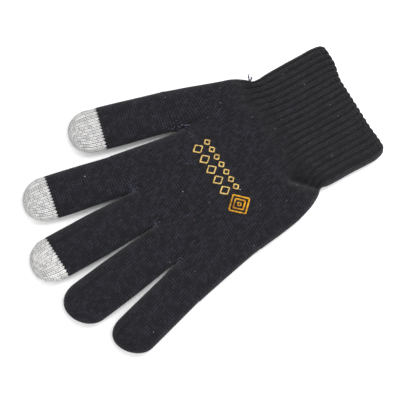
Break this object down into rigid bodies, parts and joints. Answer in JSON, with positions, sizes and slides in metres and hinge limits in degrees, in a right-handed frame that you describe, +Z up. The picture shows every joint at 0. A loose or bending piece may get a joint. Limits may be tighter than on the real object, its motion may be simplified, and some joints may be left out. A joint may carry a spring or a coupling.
{
  "type": "knitted touchscreen glove",
  "caption": "Flat-lying knitted winter glove with a ribbed cuff, conductive silver fingertips, an embroidered diamond band, and stalls and cuff that fold.",
  "frame": {"origin": "middle of the glove's outline on the surface that it lies on", "axes": "+Z up out of the back of the hand, +Y from the cuff to the fingertips, +X to the thumb's side"},
  "size_m": [0.1462, 0.212, 0.0096],
  "materials": {
    "black_knit": "brushed acrylic stocking stitch, near black",
    "black_rib_knit": "acrylic rib knit, near black",
    "silver_knit": "pale grey silver-coated conductive yarn, fine stocking stitch",
    "gold_thread": "glossy rayon satin stitch, gold",
    "backing_felt": "thin white non-woven stabiliser",
    "elastic_thread": "covered elastic thread, black"
  },
  "bodies": {
    "hand": {"back_panel": "black_knit", "palm_panel": "black_knit", "thumb_side_edge": "black_knit", "index_side_edge": "black_knit", "little_side_edge": "black_knit", "thumb_web": "black_knit", "index_middle_web": "black_knit", "middle_ring_web": "black_knit", "ring_little_web": "black_knit", "emblem_embroidery": "gold_thread", "emblem_backing": "backing_felt", "yarn_tail": "black_knit"},
    "cuff": {"cuff_rib": "black_rib_knit", "cuff_elastic": "elastic_thread"},
    "cuff_end": {"turnback_rib": "black_rib_knit", "cuff_hem": "black_rib_knit", "hem_elastic": "elastic_thread"},
    "thumb_base": {"thumb_base_stall": "black_knit"},
    "thumb_end": {"thumb_end_stall": "black_knit", "thumb_conductive_tip": "silver_knit"},
    "index_base": {"index_base_stall": "black_knit"},
    "index_mid": {"index_middle_stall": "black_knit"},
    "index_end": {"index_conductive_tip": "silver_knit"},
    "middle_base": {"middle_base_stall": "black_knit"},
    "middle_mid": {"middle_middle_stall": "black_knit"},
    "middle_end": {"middle_conductive_tip": "silver_knit"},
    "ring_base": {"ring_base_stall": "black_knit"},
    "ring_mid": {"ring_middle_stall": "black_knit"},
    "ring_end": {"ring_tip_stall": "black_knit"},
    "little_base": {"little_base_stall": "black_knit"},
    "little_mid": {"little_middle_stall": "black_knit"},
    "little_end": {"little_tip_stall": "black_knit"}
  },
  "joints": [
    {"name": "wrist_fold", "type": "hinge", "parent": "hand", "child": "cuff", "pos_m": [0.0022, -0.06, 0.009], "axis": [-1, 0, 0], "range_deg": [0, 60]},
    {"name": "cuff_turnback", "type": "hinge", "parent": "cuff", "child": "cuff_end", "pos_m": [0.0022, -0.085, 0.0094], "axis": [-1, 0, 0], "range_deg": [0, 170]},
    {"name": "thumb_root", "type": "hinge", "parent": "hand", "child": "thumb_base", "pos_m": [0.0486, -0.0074, 0.009], "axis": [0.9659, -0.2588, 0], "range_deg": [0, 70]},
    {"name": "thumb_knuckle", "type": "hinge", "parent": "thumb_base", "child": "thumb_end", "pos_m": [0.05352, 0.01095, 0.009], "axis": [0.9659, -0.2588, 0], "range_deg": [0, 80]},
    {"name": "index_root", "type": "hinge", "parent": "hand", "child": "index_base", "pos_m": [0.0272, 0.035, 0.009], "axis": [1, 0, 0], "range_deg": [0, 75]},
    {"name": "index_knuckle", "type": "hinge", "parent": "index_base", "child": "index_mid", "pos_m": [0.03149, 0.05607, 0.009], "axis": [0.9799, -0.1994, 0], "range_deg": [0, 90]},
    {"name": "index_end_knuckle", "type": "hinge", "parent": "index_mid", "child": "index_end", "pos_m": [0.03543, 0.07547, 0.009], "axis": [0.9799, -0.1994, 0], "range_deg": [0, 60]},
    {"name": "middle_root", "type": "hinge", "parent": "hand", "child": "middle_base", "pos_m": [0.0027, 0.035, 0.009], "axis": [1, 0, 0], "range_deg": [0, 75]},
    {"name": "middle_knuckle", "type": "hinge", "parent": "middle_base", "child": "middle_mid", "pos_m": [0.0022, 0.0635, 0.009], "axis": [0.9998, 0.0175, 0], "range_deg": [0, 90]},
    {"name": "middle_end_knuckle", "type": "hinge", "parent": "middle_mid", "child": "middle_end", "pos_m": [0.00173, 0.09049, 0.009], "axis": [0.9998, 0.0175, 0], "range_deg": [0, 60]},
    {"name": "ring_root", "type": "hinge", "parent": "hand", "child": "ring_base", "pos_m": [-0.0221, 0.035, 0.009], "axis": [1, 0, 0], "range_deg": [0, 75]},
    {"name": "ring_knuckle", "type": "hinge", "parent": "ring_base", "child": "ring_mid", "pos_m": [-0.02632, 0.06167, 0.009], "axis": [0.9877, 0.1564, 0], "range_deg": [0, 90]},
    {"name": "ring_end_knuckle", "type": "hinge", "parent": "ring_mid", "child": "ring_end", "pos_m": [-0.03008, 0.08537, 0.009], "axis": [0.9877, 0.1564, 0], "range_deg": [0, 60]},
    {"name": "little_root", "type": "hinge", "parent": "hand", "child": "little_base", "pos_m": [-0.0482, 0.035, 0.009], "axis": [1, 0, 0], "range_deg": [0, 75]},
    {"name": "little_knuckle", "type": "hinge", "parent": "little_base", "child": "little_mid", "pos_m": [-0.05431, 0.05561, 0.009], "axis": [0.9588, 0.284, 0], "range_deg": [0, 90]},
    {"name": "little_end_knuckle", "type": "hinge", "parent": "little_mid", "child": "little_end", "pos_m": [-0.05942, 0.07287, 0.009], "axis": [0.9588, 0.284, 0], "range_deg": [0, 60]}
  ],
  "couplings": [
    {"joint": "index_end_knuckle", "follows": "index_knuckle", "ratio": 0.66},
    {"joint": "middle_end_knuckle", "follows": "middle_knuckle", "ratio": 0.66},
    {"joint": "ring_end_knuckle", "follows": "ring_knuckle", "ratio": 0.66},
    {"joint": "little_end_knuckle", "follows": "little_knuckle", "ratio": 0.66}
  ]
}
